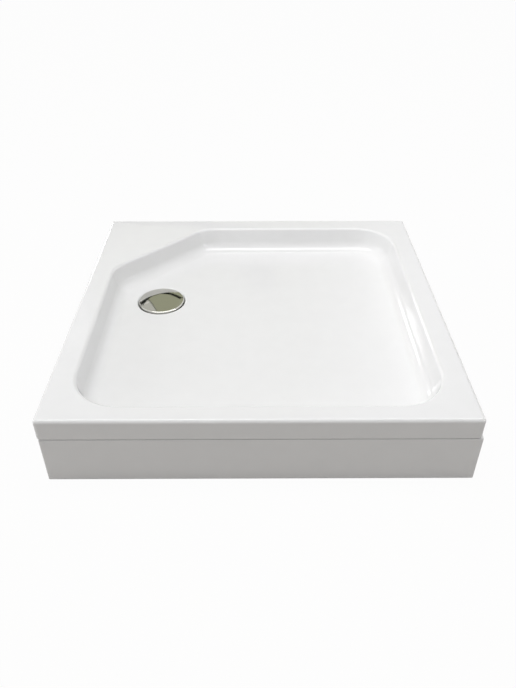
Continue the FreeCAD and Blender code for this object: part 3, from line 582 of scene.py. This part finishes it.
def apronPanel(side, outward, corner):
    # outward is the direction that its face looks
    node = side + "_panel"
    low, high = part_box(node)
    piece = addCube(side + "_apron_panel", low, high)
    out = Vector(outward)
    reach = max(Vector(low).dot(out), Vector(high).dot(out))
    pick("EDGE", lambda edge: isUpright(edge) and spot(edge).dot(out) > reach - near)
    bpy.ops.mesh.bevel(offset=corner * mm, segments=8)
    pick("EDGE", lambda edge: not isUpright(edge) and isSharp(edge)
         and spot(edge).dot(out) > reach - (corner + 0.1) * mm)
    bpy.ops.mesh.bevel(offset=min(panels["edge"], corner) * mm, segments=5)
    pick("FACE", lambda face: face.normal.dot(out) < -0.999)
    bpy.ops.mesh.delete(type="ONLY_FACE")
    closeMesh()
    useModifier(piece, "SOLIDIFY", thickness=panels["sheet"] * mm, offset=-1, use_even_offset=True)
    smooth(piece)
    finishPiece(piece, side + "_apron", node)


apronPanel("front", (0, -1, 0), panels["frontCorner"])
apronPanel("left", (-1, 0, 0), panels["sideCorner"])
apronPanel("right", (1, 0, 0), panels["sideCorner"])
print("apron: three panels")


# the cover of the waste: a pressed dome with a turned-down rim that hangs into its gap, in mm

cover = {"sheet": 1.2, "rimRadius": 2.4, "rimDrop": 2.4, "rise": 5.6}


def domeOutline(radius, crown, shoulder, bottom, corner):
    # from the crown out to the rim, an arc over the dome and a small one at its edge
    flat = radius - corner
    rise = crown - shoulder
    sphere = (flat * flat + rise * rise) / (2 * rise)
    end = math.degrees(math.asin(flat / sphere))
    points = arcPoints((0, crown - sphere), sphere, 90, 90 - end, 16)
    points += arcPoints((flat, shoulder - corner), corner, 90, 0, 6)[1:]
    points.append((radius, bottom))
    return points


def wasteCover():
    low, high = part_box("dome_cover")
    radius = (high[0] - low[0]) / 2 / mm
    bottom, crown = low[2] / mm - cover["rimDrop"], high[2] / mm
    shoulder = crown - cover["rise"]
    sheet, rim = cover["sheet"], cover["rimRadius"]
    outline = domeOutline(radius, crown, shoulder, bottom, rim)
    outline += domeOutline(radius - sheet, crown - sheet, shoulder - sheet, bottom,
                           rim - sheet)[::-1]
    outline[0] = (0, crown)
    outline[-1] = (0, crown - sheet)
    piece = drawLine("waste_dome", [
        Vector((waste.x + across * mm, waste.y, height * mm)) for across, height in outline])
    bpy.ops.mesh.spin(steps=128, angle=2 * math.pi, center=waste, axis=(0, 0, 1))
    bpy.ops.mesh.select_all(action="SELECT")
    bpy.ops.mesh.remove_doubles(threshold=0.005 * mm)
    bpy.ops.mesh.normals_make_consistent(inside=False)
    closeMesh()
    smooth(piece)
    finishPiece(piece, "waste_cover", "dome_cover")


wasteCover()
print("waste cover")


# the hardware under the tray, with the small edges in mm that moulding, pressing and sawing leave

edges = {"base_board": 0.4, "reinforcement_layer": 0.8,
         "front_frame_bar": 0.5, "rear_frame_bar": 0.5, "cross_frame_bar": 0.5,
         "bar_end_caps": 0.6, "frame_screws": 0.2, "bracket_screws": 0.2, "weld_nuts": 0.5,
         "panel_brackets": 0.3, "panel_magnets": 0.4, "front_panel_plates": 0.2,
         "left_panel_plates": 0.2, "right_panel_plates": 0.2, "trap_body": 0.6,
         "trap_outlet_nut": 0.6, "outlet_pipe": 0.5, "outlet_washer": 0.3, "lower_seal": 0.3,
         "upper_seal": 0.3, "waste_flange": 0.4, "flange_screws": 0.2, "dip_tube": 0.3,
         "trap_cup": 0.4, "cover_clip": 0.3}
edges.update({node: 0.5 for node in nodes
              if node.startswith(("foot_pad", "lock_nut", "foot_bolt"))})


def dressPart(node, edge):
    # a copy of the part with its vertices merged, its flat faces whole and its corners eased
    activate(nodes[node])
    bpy.ops.object.duplicate()
    piece = newPiece(node + "_part")
    body = piece["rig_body"]
    for key in list(piece.keys()):
        del piece[key]
    openMesh(piece)
    bpy.ops.mesh.select_all(action="SELECT")
    bpy.ops.mesh.remove_doubles(threshold=0.002 * mm)
    bpy.ops.mesh.dissolve_limited(angle_limit=math.radians(0.5))
    closeMesh()
    useModifier(piece, "BEVEL", width=edge * mm, segments=2, limit_method="ANGLE",
                angle_limit=math.radians(40), use_clamp_overlap=True)
    smooth(piece)
    finishPiece(piece, body, node)
    return len(piece.data.polygons)


# the round dip_tube_ring has no corner to ease and shows as it was built
print("hardware:", sum(dressPart(node, edge) for node, edge in edges.items()), "faces")


# studio: pale floor, soft light and the camera, in metres

studio = {"paper": "#BEBAB5", "glow": 0.97, "floorSize": 60.0}
room = {"left": 0.66, "right": 0.20, "white": 1.0}    # how strong its light is from either side


def seenRays(tree):
    # 1 for the rays of the camera, of gloss and of glass, 0 for the rays that light
    path = addNode(tree, "ShaderNodeLightPath").outputs
    seen = addNode(tree, "ShaderNodeMath", {
        0: path["Is Camera Ray"], 1: path["Is Glossy Ray"]}, operation="ADD")
    seen = addNode(tree, "ShaderNodeMath", {
        0: seen.outputs[0], 1: path["Is Transmission Ray"]}, operation="ADD", use_clamp=True)
    return seen.outputs[0]


def studioFloor():
    clearSelection()
    bpy.ops.mesh.primitive_plane_add(size=studio["floorSize"])
    floor = newPiece("studio_floor")
    openMesh(floor)
    bpy.ops.mesh.select_all(action="SELECT")
    bpy.ops.transform.translate(value=(0, 0, cadLow[2] - 0.05 * mm))
    closeMesh()
    # paper that shows white and keeps a trace of shadow; from below it is clear
    material, tree = newMaterial("paperSweep")
    share = addNode(tree, "ShaderNodeMath", {0: seenRays(tree), 1: studio["glow"]},
                    operation="MULTIPLY")
    paper = addNode(tree, "ShaderNodeBsdfDiffuse", {"Color": colour(studio["paper"])})
    white = addNode(tree, "ShaderNodeEmission", {"Color": colour("#FFFFFF"), "Strength": 1.0})
    sweep = addNode(tree, "ShaderNodeMixShader", {
        0: share.outputs[0], 1: paper.outputs[0], 2: white.outputs[0]})
    clear = addNode(tree, "ShaderNodeBsdfTransparent")
    finishMaterial(tree, addNode(tree, "ShaderNodeMixShader", {
        0: addNode(tree, "ShaderNodeNewGeometry").outputs["Backfacing"],
        1: sweep.outputs[0], 2: clear.outputs[0]}))
    floor.data.materials.append(material)


def studioWorld():
    # a plain white room: it lights softly, and the camera and every gloss see it white
    world = bpy.data.worlds.new("softRoom")
    bpy.context.scene.world = world
    world.use_nodes = True
    tree = world.node_tree
    tree.nodes.clear()
    way = addNode(tree, "ShaderNodeTexCoord").outputs["Generated"]
    side = addNode(tree, "ShaderNodeSeparateXYZ", {0: way})
    light = addNode(tree, "ShaderNodeMapRange", {
        "Value": side.outputs[0], "From Min": -1.0, "From Max": 1.0,
        "To Min": room["left"], "To Max": room["right"]})
    soft = addNode(tree, "ShaderNodeBackground", {
        "Color": colour("#FFFFFF"), "Strength": light.outputs[0]})
    white = addNode(tree, "ShaderNodeBackground", {
        "Color": colour("#FFFFFF"), "Strength": room["white"]})
    mixed = addNode(tree, "ShaderNodeMixShader", {
        0: seenRays(tree), 1: soft.outputs[0], 2: white.outputs[0]})
    addNode(tree, "ShaderNodeOutputWorld", {"Surface": mixed.outputs[0]})


# softboxes: place, width and height, power in watts, and if it lights or only glints
lamps = {
    "ceilingSoftbox": ((0.0, 0.0, 2.4), 2.6, 0.7, 35.5, True),
    "leftSoftbox": ((-4.6, 0.2, 1.5), 1.8, 1.6, 30.0, True),
    "rightGlint": ((2.1, -0.85, 0.55), 0.4, 1.0, 26.0, False),
    "rearLeftGlint": ((-1.75, 2.9, 0.95), 0.5, 0.7, 9.0, False),
    "chromeGlint": ((-1.5, 2.9, 2.3), 0.3, 0.08, 0.04, False),
}


def studioLamps():
    for name, (place, width, height, power, lights) in lamps.items():
        clearSelection()
        turn = (-Vector(place)).to_track_quat("-Z", "Y").to_euler()    # it faces the origin
        bpy.ops.object.light_add(type="AREA", location=place, rotation=turn)
        lamp = bpy.context.object
        lamp.name = name
        lamp.data.shape = "RECTANGLE"
        lamp.data.size = width
        lamp.data.size_y = height
        lamp.data.energy = power
        lamp.visible_diffuse = lights


# the far end of the studio as gloss shows it: how far behind, corners across and up, colour
cards = {
    "oliveWall": (3.02, ((-6.0, 0.0), (5.0, 0.0), (5.0, 8.0), (-6.0, 8.0)), "#A9AB95"),
    "paleDoor": (3.01, ((-6.0, 0.0), (-1.36, 0.0), (-1.16, 8.0), (-6.0, 8.0)), "#CDCDC8"),
    "doorFrame": (3.00, ((-1.40, 0.0), (-1.36, 0.0), (-1.16, 8.0), (-1.22, 8.0)), "#3A3B36"),
    "darkRail": (2.98, ((0.12, 1.6), (0.12, 1.95), (-0.4, 1.42), (-0.75, 1.26), (-1.1, 1.48),
                        (-1.44, 2.0), (-1.8, 2.6), (-1.8, 2.0), (-1.44, 1.6), (-1.1, 1.2),
                        (-0.75, 0.98), (-0.4, 1.12)), "#222220"),
}
cardFade = (0.1, 1.4)    # the cards turn to white over this distance across


def studioCards():
    # cards behind the tray that only gloss can see: they light nothing and cast no shadow
    for name, (behind, corners, tone) in cards.items():
        card = drawLine(name, [Vector((across, behind, up)) for across, up in corners])
        bpy.ops.mesh.edge_face_add()
        closeMesh()
        material, tree = newMaterial(name + "Card")
        place = addNode(tree, "ShaderNodeTexCoord").outputs["Object"]
        across = addNode(tree, "ShaderNodeSeparateXYZ", {0: place})
        fade = addNode(tree, "ShaderNodeMapRange", {
            "Value": across.outputs[0], "From Min": cardFade[0], "From Max": cardFade[1]},
            interpolation_type="SMOOTHSTEP")
        tint = addNode(tree, "ShaderNodeMix", {
            0: fade.outputs[0], 6: colour(tone), 7: colour("#FFFFFF")}, data_type="RGBA")
        finishMaterial(tree, addNode(tree, "ShaderNodeEmission", {
            "Color": tint.outputs[2], "Strength": 1.0}))
        card.data.materials.append(material)
        card.visible_camera = card.visible_diffuse = False
        card.visible_transmission = card.visible_shadow = False


view = {"place": (-0.0066, -1.2235, 0.9253), "turn": (53.577, 0.0, -0.263), "lens": 33.62,
        "sensor": 36.0}


def studioCamera():
    clearSelection()
    bpy.ops.object.camera_add(location=view["place"],
                              rotation=[math.radians(angle) for angle in view["turn"]])
    camera = bpy.context.object
    camera.name = "photographCamera"
    camera.data.lens = view["lens"]
    camera.data.sensor_width = view["sensor"]
    bpy.context.scene.camera = camera


studioFloor()
studioWorld()
studioLamps()
studioCards()
studioCamera()
bpy.context.scene.view_settings.view_transform = "Standard"
print("studio ready")
